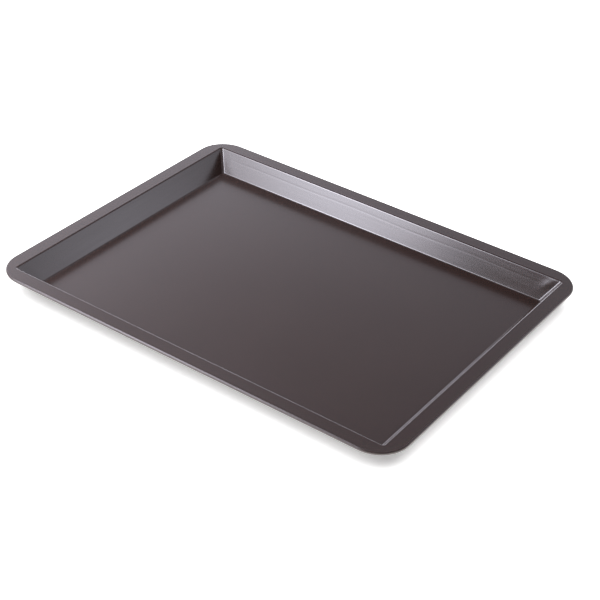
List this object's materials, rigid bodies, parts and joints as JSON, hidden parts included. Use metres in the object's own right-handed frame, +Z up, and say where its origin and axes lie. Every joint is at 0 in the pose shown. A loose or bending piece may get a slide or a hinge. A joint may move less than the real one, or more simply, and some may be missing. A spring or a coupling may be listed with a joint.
{
  "type": "jelly roll pan",
  "caption": "Shallow rectangular baking tray with leaning walls and a flat flange, its edge rolled round a steel wire; dark non-stick finish.",
  "frame": {"origin": "middle of the underside of the floor, at the height of whatever the pan rests on", "axes": "+X along the long side, +Y along the short side, +Z up, out of the open side"},
  "size_m": [0.432, 0.33, 0.021],
  "materials": {
    "nonstick_coating": "semi-gloss dark brown-grey non-stick film on carbon steel sheet",
    "wire_steel": "plain drawn steel wire, hidden in the rolled edge"
  },
  "bodies": {
    "root": {"pan_body": "nonstick_coating", "rim_wire": "wire_steel"}
  },
  "joints": []
}
